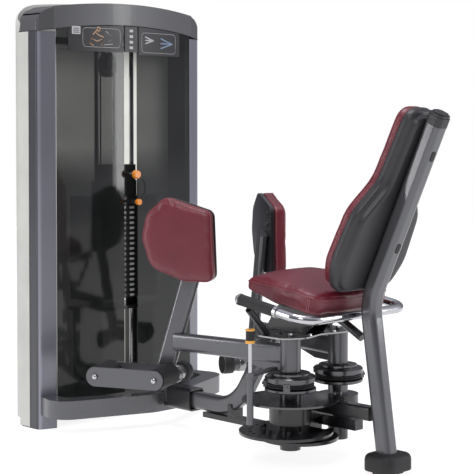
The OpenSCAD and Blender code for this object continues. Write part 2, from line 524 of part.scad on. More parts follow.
// start-position lever on the left arm
LX = -42;
LY = -170;
module lever_guide() color(grey) arm() {
  difference() {
    union() {
      translate([LX, LY, 150]) cylinder(r = 11, h = 152);
      translate([LX - 9, LY, 303]) cube([18, 150, 12]);
      translate([LX, LY, 300]) cylinder(r = 15, h = 15);
      translate([LX - 9, -60, 303]) cube([LX + 60, 30, 12]);
    }
    translate([LX, LY, 140]) cylinder(r = 6.55, h = 240);
    translate([0, 0, 290]) cylinder(r = 34.1, h = 60);
    translate([-80, -24, 302]) cube([200, 60, 40]);
  }
}
module start_lever() color(chrome) arm() {
  translate([LX, LY, 152]) cylinder(r = 6.5, h = 303);
}
module lever_grip() color(black) arm() translate([LX, LY, 419.2]) difference() {
  cylinder(r = 14, h = 30.6);
  translate([0, 0, -1]) cylinder(r = 6.5, h = 40);
}
module lever_rings() color(yellow) arm() {
  for (q = [[410, 9, 15.5], [450, 5, 15.5]]) translate([LX, LY, q[0]]) difference() {
    cylinder(r = q[2], h = q[1]);
    translate([0, 0, -1]) cylinder(r = 6.5, h = q[1] + 2);
  }
}
module place() translate([-OX, 0, 0]) children();

place() upright_left();
place() upright_right();
place() tower_cap();
place() rear_shroud();
place() panel_left();
place() panel_right();
place() placards();
place() base_bow();
place() tower_base();
place() guide_rods();
place() stack_bumpers();
place() head_pulley();
place() base_pulley();
place() pulley_brackets();
place() weight_plates();
place() top_plate();
place() addon_weight();
place() addon_knob();
place() selector_pin();
place() pin_tether();
place() lift_cable();
place() cable_return();
place() main_beam();
place() lower_beam();
place() hub_frame();
place() bridge_plate();
place() pivot_shafts();
place() stop_plates();
place() rear_beam();
place() rear_post();
place() post_cap();
place() post_plugs();
place() rear_foot();
place() seat_brace();
place() seat_frame();
place() seat_cushion();
place() handle_tube();
place() handle_grips();
place() grip_caps();
place() backrest_shell();
place() backrest_pad();
place() arm_left();
place() arm_right();
place() pad_upright_left();
place() pad_upright_right();
place() pad_shell_left();
place() pad_shell_right();
place() pad_left();
place() pad_right();
place() foot_bars_left();
place() foot_bars_right();
place() foot_pegs_left();
place() foot_pegs_right();
place() cam_left();
place() cam_right();
place() lever_guide();
place() start_lever();
place() lever_grip();
place() lever_rings();
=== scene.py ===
import math
import bpy, bmesh
import numpy as np
from mathutils import Vector, Matrix, Quaternion

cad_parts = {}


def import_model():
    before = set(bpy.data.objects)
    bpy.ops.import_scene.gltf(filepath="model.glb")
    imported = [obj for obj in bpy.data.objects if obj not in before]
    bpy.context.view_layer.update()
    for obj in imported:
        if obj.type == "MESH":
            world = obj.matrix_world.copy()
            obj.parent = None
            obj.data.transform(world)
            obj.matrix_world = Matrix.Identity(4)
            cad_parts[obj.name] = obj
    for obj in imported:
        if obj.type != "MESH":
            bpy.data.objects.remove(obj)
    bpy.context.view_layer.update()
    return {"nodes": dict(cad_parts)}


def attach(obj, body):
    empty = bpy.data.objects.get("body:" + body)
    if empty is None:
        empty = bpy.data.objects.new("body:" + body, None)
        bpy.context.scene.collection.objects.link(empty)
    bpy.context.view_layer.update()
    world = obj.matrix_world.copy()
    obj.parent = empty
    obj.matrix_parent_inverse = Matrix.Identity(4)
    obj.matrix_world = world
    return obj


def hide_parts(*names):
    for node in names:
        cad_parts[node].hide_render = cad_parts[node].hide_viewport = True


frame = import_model()
N = frame["nodes"]
OX = 0.6663


# ---------------------------------------------------------------- camera and light
def camera():
    cam = bpy.data.cameras.new("camera")
    o = bpy.data.objects.new("camera", cam)
    bpy.context.collection.objects.link(o)
    bpy.context.scene.camera = o
    cam.sensor_width = 36
    cam.lens = 1399.5 / 474 * 36
    cam.shift_y = -67.4 / 474
    cam.clip_end = 60
    o.location = (4.0591 - OX, -3.4453, 1.1013)
    p, a = 0.03188, 0.78501
    d = Vector((-math.sin(a) * math.cos(p), math.cos(a) * math.cos(p), -math.sin(p)))
    o.rotation_euler = d.to_track_quat("-Z", "Y").to_euler()
    return o


def area(name, loc, target, size, power, color=(1, 1, 1), sy=None):
    l = bpy.data.lights.new(name, "AREA")
    l.shape = "RECTANGLE"
    l.size, l.size_y = size, sy or size
    l.energy = power
    l.color = color
    o = bpy.data.objects.new(name, l)
    bpy.context.collection.objects.link(o)
    o.location = loc
    o.rotation_euler = (Vector(target) - Vector(loc)).to_track_quat("-Z", "Y").to_euler()
    return o


def world():
    """white to the camera; for light and reflections a grey studio with a dark horizon and bright side cards"""
    w = bpy.data.worlds.new("studio")
    bpy.context.scene.world = w
    w.use_nodes = True
    nt = w.node_tree
    nt.nodes.clear()
    out = nt.nodes.new("ShaderNodeOutputWorld")
    mix = nt.nodes.new("ShaderNodeMixShader")
    lp = nt.nodes.new("ShaderNodeLightPath")
    white = nt.nodes.new("ShaderNodeBackground")
    white.inputs[0].default_value = (1, 1, 1, 1)
    env = nt.nodes.new("ShaderNodeBackground")
    tc = nt.nodes.new("ShaderNodeTexCoord")
    sep = nt.nodes.new("ShaderNodeSeparateXYZ")
    nt.links.new(tc.outputs["Generated"], sep.inputs[0])

    def ramp_(sock, lo, hi, stops):
        mp = nt.nodes.new("ShaderNodeMapRange")
        mp.inputs[1].default_value, mp.inputs[2].default_value = lo, hi
        nt.links.new(sock, mp.inputs[0])
        r = nt.nodes.new("ShaderNodeValToRGB")
        e = r.color_ramp.elements
        e[0].position, e[0].color = stops[0][0], (stops[0][1],) * 3 + (1,)
        e[1].position, e[1].color = stops[-1][0], (stops[-1][1],) * 3 + (1,)
        for p_, v_ in stops[1:-1]:
            q_ = e.new(p_)
            q_.color = (v_,) * 3 + (1,)
        nt.links.new(mp.outputs[0], r.inputs[0])
        return r.outputs[0]
    up = ramp_(sep.outputs[2], -1, 1, [(0.0, 0.26), (0.40, 0.20), (0.49, 0.05), (0.53, 0.05), (0.62, 0.10), (0.80, 0.34), (1.0, 0.80)])
    at = nt.nodes.new("ShaderNodeMath")
    at.operation = "ARCTAN2"
    nt.links.new(sep.outputs[1], at.inputs[0])
    nt.links.new(sep.outputs[0], at.inputs[1])
    az = ramp_(at.outputs[0], -math.pi, math.pi, [(0.0, 0.10), (0.06, 0.45), (0.10, 0.55), (0.14, 0.10), (0.22, 0.02), (0.34, 0.04),
                                                 (0.40, 0.02), (0.52, 0.06), (0.575, 0.62), (0.64, 0.85), (0.70, 0.55), (0.78, 0.10), (1.0, 0.10)])
    band = ramp_(sep.outputs[2], -1, 1, [(0.0, 0.0), (0.30, 0.15), (0.46, 0.9), (0.60, 1.0), (0.78, 0.5), (1.0, 0.0)])
    mul = nt.nodes.new("ShaderNodeMix")
    mul.data_type = "RGBA"
    mul.blend_type = "MULTIPLY"
    mul.inputs[0].default_value = 1.0
    nt.links.new(az, mul.inputs[6])
    nt.links.new(band, mul.inputs[7])
    add = nt.nodes.new("ShaderNodeMix")
    add.data_type = "RGBA"
    add.blend_type = "ADD"
    add.inputs[0].default_value = 1.0
    nt.links.new(up, add.inputs[6])
    nt.links.new(mul.outputs[2], add.inputs[7])
    tint = nt.nodes.new("ShaderNodeMix")
    tint.data_type = "RGBA"
    tint.blend_type = "MULTIPLY"
    tint.inputs[0].default_value = 1.0
    tint.inputs[7].default_value = (0.97, 0.97, 1.06, 1)
    nt.links.new(add.outputs[2], tint.inputs[6])
    nt.links.new(tint.outputs[2], env.inputs[0])
    env.inputs[1].default_value = 1.0
    nt.links.new(lp.outputs["Is Camera Ray"], mix.inputs[0])
    nt.links.new(env.outputs[0], mix.inputs[1])
    nt.links.new(white.outputs[0], mix.inputs[2])
    nt.links.new(mix.outputs[0], out.inputs[0])


camera()
world()
area("key", (2.4, -3.9, 3.3), (0.1, 0, 0.6), 1.2, 62)
area("top", (0.0, -0.4, 4.0), (-0.1, 0, 0.6), 1.6, 55)
area("rim_left", (-1.9, -3.2, 1.4), (0.2, -0.2, 0.8), 0.35, 26, sy=2.4)
area("rim_right", (3.2, 2.9, 1.7), (0.1, 0, 0.7), 0.5, 30, sy=2.2)
# lights the inside of the rear shroud, as daylight through its translucent back does
bk = area("shroud_glow", (-0.118 - OX, 0, 0.74), (-1.2, 0, 0.74), 0.66, 3.6, sy=1.22)
bk.visible_camera = False
bk.visible_glossy = False
sc = bpy.context.scene
sc.view_settings.view_transform = "Standard"
sc.view_settings.look = "None"
sc.view_settings.exposure = 0.0


# ---------------------------------------------------------------- materials
def nodes_of(name):
    m = bpy.data.materials.new(name)
    m.use_nodes = True
    nt = m.node_tree
    nt.nodes.clear()
    out = nt.nodes.new("ShaderNodeOutputMaterial")
    p = nt.nodes.new("ShaderNodeBsdfPrincipled")
    nt.links.new(p.outputs[0], out.inputs[0])
    return m, nt, p, out


def noise(nt, scale, detail=4, rough=0.5, vec=None, dist=0.0):
    n = nt.nodes.new("ShaderNodeTexNoise")
    n.inputs["Scale"].default_value = scale
    n.inputs["Detail"].default_value = detail
    n.inputs["Roughness"].default_value = rough
    n.inputs["Distortion"].default_value = dist
    if vec is not None:
        nt.links.new(vec, n.inputs["Vector"])
    return n


def coords(nt, scale=(1, 1, 1), rot=(0, 0, 0)):
    tc = nt.nodes.new("ShaderNodeTexCoord")
    mp = nt.nodes.new("ShaderNodeMapping")
    mp.inputs["Scale"].default_value = scale
    mp.inputs["Rotation"].default_value = rot
    nt.links.new(tc.outputs["Object"], mp.inputs[0])
    return mp.outputs[0]


def ramp(nt, fac, stops):
    r = nt.nodes.new("ShaderNodeValToRGB")
    e = r.color_ramp.elements
    while len(e) > 1:
        e.remove(e[-1])
    e[0].position, e[0].color = stops[0][0], (*stops[0][1], 1)
    for pos, c in stops[1:]:
        q = e.new(pos)
        q.color = (*c, 1)
    nt.links.new(fac, r.inputs[0])
    return r.outputs[0]


def rng(nt, fac, lo, hi, a=0.0, b=1.0):
    m = nt.nodes.new("ShaderNodeMapRange")
    m.inputs[1].default_value = a
    m.inputs[2].default_value = b
    m.inputs[3].default_value = lo
    m.inputs[4].default_value = hi
    nt.links.new(fac, m.inputs[0])
    return m.outputs[0]


def edge(nt, r=0.0016):
    b = nt.nodes.new("ShaderNodeBevel")
    b.samples = 2
    b.inputs["Radius"].default_value = r
    return b.outputs[0]


def bump(nt, p, height, strength, dist=0.001, prev=None):
    b = nt.nodes.new("ShaderNodeBump")
    b.inputs["Strength"].default_value = strength
    b.inputs["Distance"].default_value = dist
    nt.links.new(height, b.inputs["Height"])
    if prev is not None:
        nt.links.new(prev, b.inputs["Normal"])
    nt.links.new(b.outputs[0], p.inputs["Normal"])
    return b.outputs[0]


def sc_col(c, k):
    return tuple(min(1.0, v * k) for v in c)


def paint(name, col, rough=0.36, metal=0.35, coat=0.35, flake=0.10, peel=0.06, edge_r=0.0022):
    """sprayed metallic powder coat: fine flake, faint orange peel, slight dust variation"""
    m, nt, p, out = nodes_of(name)
    v = coords(nt)
    fl = noise(nt, 900, 2, 0.6, v)
    big = noise(nt, 3.0, 5, 0.55, v)
    mixn = nt.nodes.new("ShaderNodeMath")
    mixn.operation = "MULTIPLY_ADD"
    mixn.inputs[1].default_value = 0.65
    mixn.inputs[2].default_value = 0.0
    nt.links.new(fl.outputs["Fac"], mixn.inputs[0])
    add = nt.nodes.new("ShaderNodeMath")
    add.operation = "MULTIPLY_ADD"
    add.inputs[1].default_value = 0.35
    nt.links.new(big.outputs["Fac"], add.inputs[0])
    nt.links.new(mixn.outputs[0], add.inputs[2])
    c = ramp(nt, add.outputs[0], [(0.25, sc_col(col, 1 - flake)), (0.5, col), (0.75, sc_col(col, 1 + flake))])
    nt.links.new(c, p.inputs["Base Color"])
    r = rng(nt, big.outputs["Fac"], rough - 0.05, rough + 0.06, 0.3, 0.7)
    nt.links.new(r, p.inputs["Roughness"])
    p.inputs["Metallic"].default_value = metal
    p.inputs["Coat Weight"].default_value = coat
    p.inputs["Coat Roughness"].default_value = 0.12
    pe = noise(nt, 420, 2, 0.5, v)
    bump(nt, p, pe.outputs["Fac"], peel, 0.0006, prev=edge(nt, edge_r) if edge_r > 0 else None)
    return m


def brushed(name, col, rough=0.24, radial=None, dirn=(1, 1, 60), metal=1.0, streak=0.18):
    m, nt, p, out = nodes_of(name)
    v = coords(nt, dirn)
    n = noise(nt, 60, 4, 0.6, v)
    big = noise(nt, 6, 3, 0.5, coords(nt))
    c = ramp(nt, n.outputs["Fac"], [(0.3, sc_col(col, 1 - streak)), (0.7, sc_col(col, 1 + streak * 0.6))])
    nt.links.new(c, p.inputs["Base Color"])
    a = nt.nodes.new("ShaderNodeMath")
    a.operation = "ADD"
    nt.links.new(rng(nt, n.outputs["Fac"], -0.05, 0.07, 0.3, 0.7), a.inputs[0])
    nt.links.new(rng(nt, big.outputs["Fac"], rough - 0.03, rough + 0.05, 0.3, 0.7), a.inputs[1])
    nt.links.new(a.outputs[0], p.inputs["Roughness"])
    p.inputs["Metallic"].default_value = metal
    bump(nt, p, n.outputs["Fac"], 0.05, 0.0004)
    return m


def chrome(name, col=(0.78, 0.78, 0.80), rough=0.07):
    m, nt, p, out = nodes_of(name)
    v = coords(nt)
    n = noise(nt, 14, 4, 0.5, v)
    c = ramp(nt, n.outputs["Fac"], [(0.3, sc_col(col, 0.94)), (0.7, col)])
    nt.links.new(c, p.inputs["Base Color"])
    nt.links.new(rng(nt, n.outputs["Fac"], rough * 0.6, rough * 1.8, 0.3, 0.7), p.inputs["Roughness"])
    p.inputs["Metallic"].default_value = 1.0
    f = noise(nt, 160, 2, 0.5, v)
    bump(nt, p, f.outputs["Fac"], 0.015, 0.0003)
    return m


def plastic(name, col, rough=0.45, grain=0.25, gscale=700, coat=0.0, var=0.10):
    m, nt, p, out = nodes_of(name)
    v = coords(nt)
    g = noise(nt, gscale, 3, 0.6, v)
    big = noise(nt, 5, 4, 0.5, v)
    c = ramp(nt, big.outputs["Fac"], [(0.3, sc_col(col, 1 - var)), (0.7, sc_col(col, 1 + var))])
    nt.links.new(c, p.inputs["Base Color"])
    nt.links.new(rng(nt, g.outputs["Fac"], rough - 0.06, rough + 0.08, 0.3, 0.7), p.inputs["Roughness"])
    p.inputs["Coat Weight"].default_value = coat
    p.inputs["Coat Roughness"].default_value = 0.08
    bump(nt, p, g.outputs["Fac"], grain, 0.0005)
    return m


def rubber(name, col=(0.018, 0.018, 0.02), rough=0.62, ribs=None):
    m, nt, p, out = nodes_of(name)
    v = coords(nt)
    g = noise(nt, 520, 4, 0.65, v)
    big = noise(nt, 9, 4, 0.6, v)
    c = ramp(nt, big.outputs["Fac"], [(0.3, sc_col(col, 0.8)), (0.7, sc_col(col, 1.35))])
    nt.links.new(c, p.inputs["Base Color"])
    nt.links.new(rng(nt, big.outputs["Fac"], rough - 0.08, rough + 0.08, 0.3, 0.7), p.inputs["Roughness"])
    bump(nt, p, g.outputs["Fac"], 0.35, 0.0006)
    return m


def vinyl(name, col=(0.155, 0.012, 0.024), rough=0.36):
    """upholstery vinyl: pebbled leather grain, creases darkened with painted shade, slight tone variation"""
    m, nt, p, out = nodes_of(name)
    v = coords(nt)
    vo = nt.nodes.new("ShaderNodeTexVoronoi")
    vo.feature = "DISTANCE_TO_EDGE"
    vo.inputs["Scale"].default_value = 520
    vo.inputs["Randomness"].default_value = 1.0
    nt.links.new(v, vo.inputs["Vector"])
    g = noise(nt, 900, 3, 0.6, v)
    big = noise(nt, 7, 5, 0.6, v)
    c = ramp(nt, big.outputs["Fac"], [(0.28, sc_col(col, 0.82)), (0.5, col), (0.74, sc_col(col, 1.18))])
    # painted shade: the grain's cell edges, its valleys, are darkened to 0.72 of the base colour
    grain_valley_painted_shade = ramp(nt, vo.outputs["Distance"], [(0.0, (0.72, 0.72, 0.72)), (0.12, (1, 1, 1))])
    mx = nt.nodes.new("ShaderNodeMix")
    mx.data_type = "RGBA"
    mx.blend_type = "MULTIPLY"
    mx.inputs[0].default_value = 1.0
    nt.links.new(c, mx.inputs[6])
    nt.links.new(grain_valley_painted_shade, mx.inputs[7])
    nt.links.new(mx.outputs[2], p.inputs["Base Color"])
    nt.links.new(rng(nt, big.outputs["Fac"], rough - 0.04, rough + 0.06, 0.3, 0.7), p.inputs["Roughness"])
    p.inputs["Specular IOR Level"].default_value = 0.55
    p.inputs["Coat Weight"].default_value = 0.25
    p.inputs["Coat Roughness"].default_value = 0.32
    h = ramp(nt, vo.outputs["Distance"], [(0.0, (0, 0, 0)), (0.22, (1, 1, 1))])
    b1 = nt.nodes.new("ShaderNodeBump")
    b1.inputs["Strength"].default_value = 0.28
    b1.inputs["Distance"].default_value = 0.0005
    nt.links.new(h, b1.inputs["Height"])
    b2 = nt.nodes.new("ShaderNodeBump")
    b2.inputs["Strength"].default_value = 0.12
    b2.inputs["Distance"].default_value = 0.0004
    nt.links.new(g.outputs["Fac"], b2.inputs["Height"])
    nt.links.new(b1.outputs[0], b2.inputs["Normal"])
    nt.links.new(b2.outputs[0], p.inputs["Normal"])
    return m


def smoked(name):
    """smoke-tinted clear sheet: darkens what is behind it, clear gloss on top, faint moulding waviness, painted shade
    low down over the weights
    """
    m, nt, p, out = nodes_of(name)
    v = coords(nt)
    big = noise(nt, 2.5, 3, 0.5, v)
    nt.links.new(ramp(nt, big.outputs["Fac"], [(0.3, (0.010, 0.011, 0.0105)), (0.7, (0.016, 0.017, 0.0165))]), p.inputs["Base Color"])
    nt.links.new(rng(nt, big.outputs["Fac"], 0.05, 0.09, 0.3, 0.7), p.inputs["Roughness"])
    p.inputs["IOR"].default_value = 1.5
    w = noise(nt, 1.6, 1, 0.3, v)
    bump(nt, p, w.outputs["Fac"], 0.02, 0.003)
    tr = nt.nodes.new("ShaderNodeBsdfTransparent")
    tint = ramp(nt, big.outputs["Fac"], [(0.3, (0.575, 0.58, 0.578)), (0.7, (0.62, 0.625, 0.622))])
    nt.links.new(tint, tr.inputs[0])
    mx = nt.nodes.new("ShaderNodeMixShader")
    # painted shade: the sheet is darker and less see-through below about 0.88 m, over the weights, easing off up to
    # 1.02 m
    tc = nt.nodes.new("ShaderNodeTexCoord")
    sep = nt.nodes.new("ShaderNodeSeparateXYZ")
    nt.links.new(tc.outputs["Object"], sep.inputs[0])
    nt.links.new(rng(nt, sep.outputs[2], 0.80, 0.42, 0.88, 1.02), mx.inputs[0])
    nt.links.new(tr.outputs[0], mx.inputs[1])
    nt.links.new(p.outputs[0], mx.inputs[2])
    nt.links.new(mx.outputs[0], out.inputs[0])
    return m


M = {
    "grey": paint("frame_grey_paint", (0.108, 0.109, 0.118), rough=0.30, metal=0.55, coat=0.5, flake=0.07),
    "tower": paint("tower_grey_paint", (0.185, 0.187, 0.222), rough=0.30, metal=0.50, coat=0.4, flake=0.04, peel=0.02, edge_r=0),
    "capgrey": paint("cap_grey_paint", (0.090, 0.091, 0.095), rough=0.38, metal=0.35, coat=0.3, flake=0.05),
    "black": paint("frame_black_paint", (0.012, 0.012, 0.014), rough=0.30, metal=0.1, coat=0.45, flake=0.2),
    "light": plastic("shroud_light_plastic", (0.56, 0.56, 0.53), rough=0.45, grain=0.10),
    "smoked": smoked("smoked_panel_plastic"),
    "placard": plastic("placard_film", (0.014, 0.014, 0.017), rough=0.34, grain=0.06, gscale=1200),
    "steel": brushed("turned_steel", (0.13, 0.13, 0.135), rough=0.24, dirn=(40, 40, 1), streak=0.25),
    "polished": brushed("polished_plate", (0.34, 0.34, 0.34), rough=0.20, dirn=(8, 60, 1), streak=0.12),
    "chrome": chrome("bright_chrome", (0.52, 0.52, 0.54), rough=0.10),
    "iron": plastic("plate_cast_black", (0.010, 0.010, 0.011), rough=0.50, grain=0.5, gscale=320),
    "plastic": plastic("moulded_black_plastic", (0.020, 0.020, 0.022), rough=0.40, grain=0.30, gscale=620),
    "shell": plastic("shell_black_plastic", (0.026, 0.026, 0.030), rough=0.42, grain=0.22, gscale=500),
    "rubber": rubber("black_rubber", (0.011, 0.011, 0.012)),
    "vinyl": vinyl("red_vinyl", (0.150, 0.009, 0.021), rough=0.33),
    "orange": plastic("orange_knob_plastic", (0.86, 0.27, 0.015), rough=0.28, grain=0.05, coat=0.5, var=0.05),
    "yellow": plastic("yellow_ring_plastic", (0.78, 0.36, 0.03), rough=0.30, grain=0.05, coat=0.4, var=0.05),
}


def setmat(node, mat):
    o = N[node]
    o.data.materials.clear()
    o.data.materials.append(mat)


ASSIGN = {
    "tower": ["upright_left", "upright_right"],
    "capgrey": ["tower_cap"],
    "grey": ["base_bow", "main_beam", "rear_post", "arm_left", "arm_right", "pad_upright_left", "pad_upright_right",
             "foot_bars_left", "foot_bars_right", "lever_guide"],
    "black": ["tower_base", "pulley_brackets", "top_plate", "lower_beam", "hub_frame", "stop_plates", "rear_beam",
              "seat_brace", "seat_frame", "pad_shell_left", "pad_shell_right"],
    "light": ["rear_shroud"],
    "smoked": ["panel_left", "panel_right"],
    "placard": ["placards"],
    "steel": ["cam_left", "cam_right"],
    "polished": ["bridge_plate"],
    "chrome": ["guide_rods", "pivot_shafts", "handle_tube", "grip_caps", "start_lever"],
    "iron": ["weight_plates", "addon_weight"],
    "plastic": ["head_pulley", "base_pulley", "post_cap"],
    "shell": ["backrest_shell"],
    "rubber": ["stack_bumpers", "rear_foot", "post_plugs", "handle_grips", "foot_pegs_left", "foot_pegs_right",
               "pin_tether", "lift_cable", "cable_return", "lever_grip"],
    "vinyl": ["seat_cushion", "backrest_pad", "pad_left", "pad_right"],
    "orange": ["addon_knob", "selector_pin"],
    "yellow": ["lever_rings"],
}
for k, v in ASSIGN.items():
    for n in v:
        setmat(n, M[k])


# ---------------------------------------------------------------- geometry helpers (mm in, metres out)
def corner(a, b, c, r, n):
    a, b, c = map(np.array, (a, b, c))
    u = (a - b) / np.linalg.norm(a - b)
    v = (c - b) / np.linalg.norm(c - b)
    h = math.acos(max(-1, min(1, float(u @ v)))) / 2
    if r <= 0:
        return [b]
    t = r / math.tan(h)
    m = (u + v) / np.linalg.norm(u + v)
    o = b + m * (r / math.sin(h))
    p0, p1 = b + u * t, b + v * t
    a0, a1 = math.atan2(*(p0 - o)[::-1]), math.atan2(*(p1 - o)[::-1])
    d = (a1 - a0 + math.pi) % (2 * math.pi) - math.pi
    return [o + r * np.array([math.cos(a0 + d * i / n), math.sin(a0 + d * i / n)]) for i in range(n + 1)]


def rnd(p, n=10):
    k = len(p)
    out = []
    for i in range(k):
        out += corner(p[i - 1][:2], p[i][:2], p[(i + 1) % k][:2], p[i][2], n)
    return np.array(out)


def resample(P, n):
    Q = np.vstack([P, P[:1]])
    L = np.r_[0, np.cumsum(np.linalg.norm(np.diff(Q, axis=0), axis=1))]
    t = np.linspace(0, L[-1], n, endpoint=False)
    return np.stack([np.interp(t, L, Q[:, i]) for i in range(Q.shape[1])], 1)


def smooth_loop(P, it=2):
    for _ in range(it):
        P = 0.5 * P + 0.25 * (np.roll(P, 1, 0) + np.roll(P, -1, 0))
    return P


def inset(P, d):
    T = np.roll(P, -1, 0) - np.roll(P, 1, 0)
    T /= np.linalg.norm(T, axis=1)[:, None]
    nrm = np.stack([-T[:, 1], T[:, 0]], 1)
    area = 0.5 * np.sum(P[:, 0] * np.roll(P[:, 1], -1) - np.roll(P[:, 0], -1) * P[:, 1])
    return smooth_loop(P + nrm * d * (1 if area > 0 else -1), 1)


def rot(axis, deg):
    return np.array(Matrix.Rotation(math.radians(deg), 3, axis))


def to_w(P):
    P = np.atleast_2d(P).astype(float)
    return (P - np.array([OX * 1000, 0, 0])) / 1000.0


def arm_f(P, side=-1):
    P = np.atleast_2d(P).astype(float) @ rot("Z", 9.87).T + np.array([980.0, -118.0, 0])
    return P * np.array([1, -side, 1])


def pad_f(P, side=-1, turn=20.0):
    P = np.atleast_2d(P).astype(float) @ rot("Z", turn).T + np.array([-483.0, 0, 0])
    return arm_f(P, side)


def tilt_f(P):
    return np.atleast_2d(P).astype(float) @ rot("Y", 9).T + np.array([1100.0, 0, 505])


REC = math.radians(24.6)
BS = np.array([math.sin(REC), 0, math.cos(REC)])
BN = np.array([-math.cos(REC), 0, math.sin(REC)])


def back_f(P):
    """columns: across, along the recline, depth towards the sitter"""
    P = np.atleast_2d(P).astype(float)
    return np.array([1217.0, 0, 540]) + P[:, 1:2] * BS + P[:, 0:1] * np.array([0, 1.0, 0]) + (28.8 + P[:, 2:3]) * BN


def new_obj(name, verts, faces, mat, smooth=True):
    me = bpy.data.meshes.new(name)
    me.from_pydata([tuple(map(float, v)) for v in verts], [], [tuple(f) for f in faces])
    me.update()
    bm = bmesh.new()
    bm.from_mesh(me)
    bmesh.ops.recalc_face_normals(bm, faces=bm.faces)
    bm.to_mesh(me)
    bm.free()
    me.polygons.foreach_set("use_smooth", [smooth] * len(me.polygons))
    o = bpy.data.objects.new(name, me)
    bpy.context.collection.objects.link(o)
    if mat:
        me.materials.append(mat)
    return o


def loft(name, rings, mat, smooth=True):
    n = len(rings[0])
    V = np.vstack(rings)
    F = []
    for k in range(len(rings) - 1):
        for i in range(n):
            j = (i + 1) % n
            F.append((k * n + i, k * n + j, (k + 1) * n + j, (k + 1) * n + i))
    c0, c1 = len(V), len(V) + 1
    V = np.vstack([V, rings[0].mean(0), rings[-1].mean(0)])
    for i in range(n):
        j = (i + 1) % n
        F.append((c0, j, i))
        F.append((c1, (len(rings) - 1) * n + i, (len(rings) - 1) * n + j))
    return new_obj(name, V, F, mat, smooth)


def tube(name, pts, r, mat, closed=False, sides=8):
    """round bead along world points (metres)"""
    P = np.array(pts, float)
    n = len(P)
    V, F = [], []
    up = np.array([0, 0, 1.0])
    for i in range(n):
        a = P[i - 1] if (closed or i > 0) else P[i]
        b = P[(i + 1) % n] if (closed or i < n - 1) else P[i]
        t = b - a
        t /= (np.linalg.norm(t) + 1e-12)
        s = np.cross(t, up)
        if np.linalg.norm(s) < 0.2:
            s = np.cross(t, np.array([0, 1.0, 0]))
        s /= np.linalg.norm(s)
        w = np.cross(s, t)
        for k in range(sides):
            q = 2 * math.pi * k / sides
            V.append(P[i] + r * (math.cos(q) * s + math.sin(q) * w))
    m = n if closed else n - 1
    for i in range(m):
        for k in range(sides):
            a, b = i * sides + k, i * sides + (k + 1) % sides
            c, d = ((i + 1) % n) * sides + (k + 1) % sides, ((i + 1) % n) * sides + k
            F.append((a, b, c, d))
    if not closed:
        F.append(tuple(range(sides))[::-1])
        F.append(tuple((n - 1) * sides + k for k in range(sides)))
    return new_obj(name, V, F, mat)


def dashes(name, pts, mat, dash=0.0042, gap=0.0022, r=0.00055, closed=False):
    P = np.array(pts, float)
    if closed:
        P = np.vstack([P, P[:1]])
    L = np.r_[0, np.cumsum(np.linalg.norm(np.diff(P, axis=0), axis=1))]
    at = lambda t: np.array([np.interp(t, L, P[:, k]) for k in range(3)])
    V, F = [], []
    t = 0.0
    while t + dash < L[-1]:
        a, m, b = at(t), at(t + dash / 2), at(t + dash)
        d = (b - a) / (np.linalg.norm(b - a) + 1e-12)
        s = np.cross(d, [0, 0, 1.0])
        if np.linalg.norm(s) < 0.2:
            s = np.cross(d, [0, 1.0, 0])
        s /= np.linalg.norm(s)
        w = np.cross(s, d)
        k0 = len(V)
        for c, rr in ((a, 0.45), (a * 0.7 + b * 0.3, 1.0), (a * 0.3 + b * 0.7, 1.0), (b, 0.45)):
            for q in range(6):
                an = 2 * math.pi * q / 6
                V.append(c + r * rr * (math.cos(an) * s + math.sin(an) * w))
        for k in range(3):
            for q in range(6):
                F.append((k0 + k * 6 + q, k0 + k * 6 + (q + 1) % 6, k0 + (k + 1) * 6 + (q + 1) % 6, k0 + (k + 1) * 6 + q))
        F.append(tuple(k0 + q for q in range(6))[::-1])
        F.append(tuple(k0 + 18 + q for q in range(6)))
        t += dash + gap
    return new_obj(name, V, F, mat)


def lathe(name, prof, origin, axis, mat, seg=40):
    """profile (r, h) in mm turned about an axis through origin (mm)"""
    ax = Vector(axis).normalized()
    q = Vector((0, 0, 1)).rotation_difference(ax)
    R = np.array(q.to_matrix())
    V, F = [], []
    for r, h in prof:
        for k in range(seg):
            a = 2 * math.pi * k / seg
            V.append(R @ np.array([r * math.cos(a), r * math.sin(a), h]) + np.array(origin, float))
    n = len(prof)
    for i in range(n - 1):
        for k in range(seg):
            F.append((i * seg + k, i * seg + (k + 1) % seg, (i + 1) * seg + (k + 1) % seg, (i + 1) * seg + k))
    F.append(tuple(range(seg))[::-1])
    F.append(tuple((n - 1) * seg + k for k in range(seg)))
    o = new_obj(name, to_w(V), F, mat)
    return o


def hexbolt(name, origin, axis, r=7.0, h=5.0, mat=None):
    """hexagon head with a chamfered crown on a washer"""
    ax = Vector(axis).normalized()
    R = np.array(Vector((0, 0, 1)).rotation_difference(ax).to_matrix())
    V, F = [], []
    rows = [(r * 1.5, 0, 24), (r * 1.5, 1.2, 24), (r * 1.42, 1.5, 24)]
    seg = 24
    for rr, hh, n in rows:
        for k in range(seg):
            a = 2 * math.pi * k / seg
            V.append(R @ np.array([rr * math.cos(a), rr * math.sin(a), hh]) + np.array(origin, float))
    def hexr(a, rr):
        m = (a + math.pi / 6) % (math.pi / 3) - math.pi / 6
        return rr * math.cos(math.pi / 6) / math.cos(m)
    for rr, hh, mixk in ((r, 1.5, 1), (r, h * 0.8, 1), (r * 0.93, h, 0.5), (r * 0.6, h + 0.25, 0)):
        for k in range(seg):
            a = 2 * math.pi * k / seg
            q = hexr(a, rr) * mixk + rr * 0.9 * (1 - mixk)
            V.append(R @ np.array([q * math.cos(a), q * math.sin(a), hh]) + np.array(origin, float))
    n = 7
    for i in range(n - 1):
        for k in range(seg):
            F.append((i * seg + k, i * seg + (k + 1) % seg, (i + 1) * seg + (k + 1) % seg, (i + 1) * seg + k))
    F.append(tuple(range(seg))[::-1])
    F.append(tuple((n - 1) * seg + k for k in range(seg)))
    return new_obj(name, to_w(V), F, mat or M["chrome"], smooth=False)


